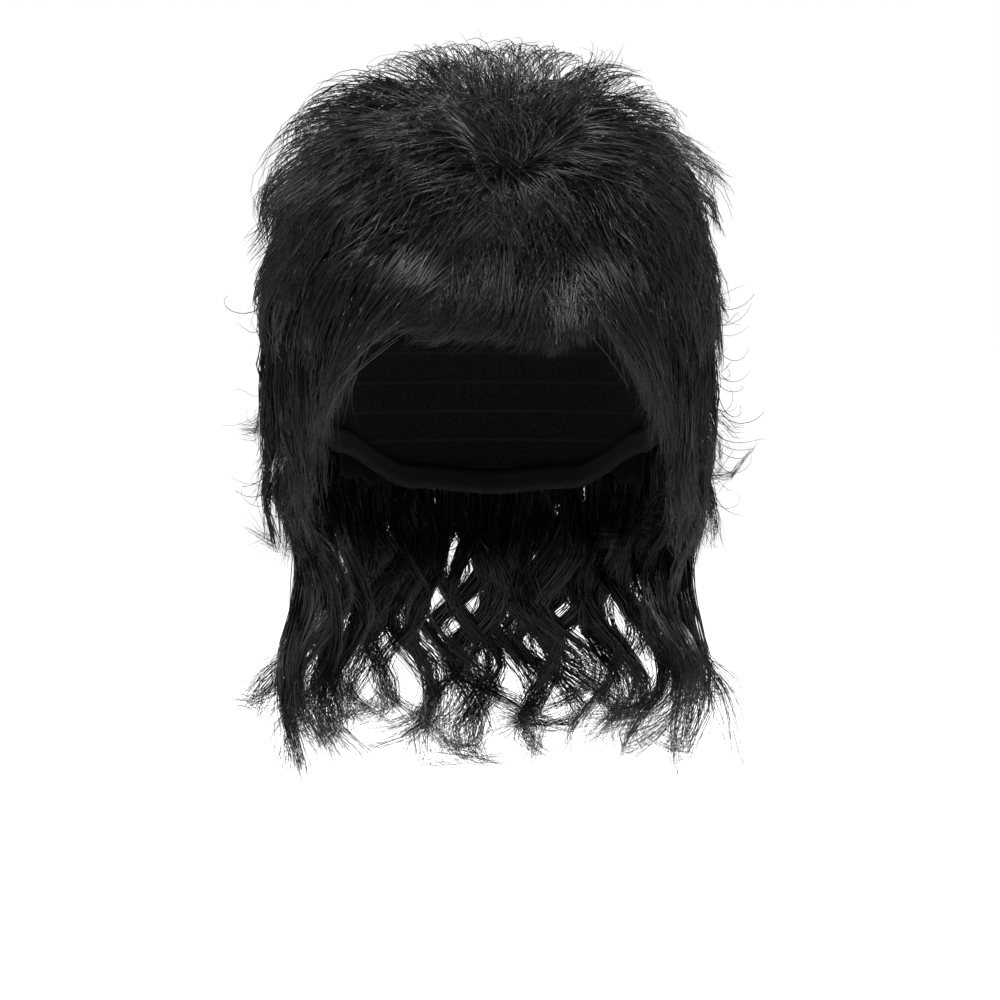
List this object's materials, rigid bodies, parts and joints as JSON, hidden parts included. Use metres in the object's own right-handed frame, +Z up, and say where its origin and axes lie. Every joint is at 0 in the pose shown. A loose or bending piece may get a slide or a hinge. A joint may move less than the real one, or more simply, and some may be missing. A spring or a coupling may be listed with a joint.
{
  "type": "mullet wig",
  "caption": "Short spiked crown, fringe and sideburns over a long wavy tail, all on a thin cap that is hollow for the head.",
  "frame": {"origin": "the crown of the head, at the top of the cap's inner face", "axes": "+Z up, -Y the way the wearer faces, +X the wearer's left"},
  "size_m": [0.2079, 0.238, 0.3103],
  "materials": {
    "hair": "satin black synthetic fibre",
    "cap_net": "matt black net",
    "stretch_band": "matt black elastic"
  },
  "bodies": {
    "root": {"cap": "cap_net", "edge_band": "stretch_band", "crown_hair": "hair", "fringe": "hair", "sideburn_left": "hair", "side_hair_left": "hair", "sideburn_right": "hair", "side_hair_right": "hair", "back_hair": "hair", "tail_left": "hair", "tail_back_left": "hair", "tail_middle": "hair", "tail_back_right": "hair", "tail_right": "hair"}
  },
  "joints": []
}
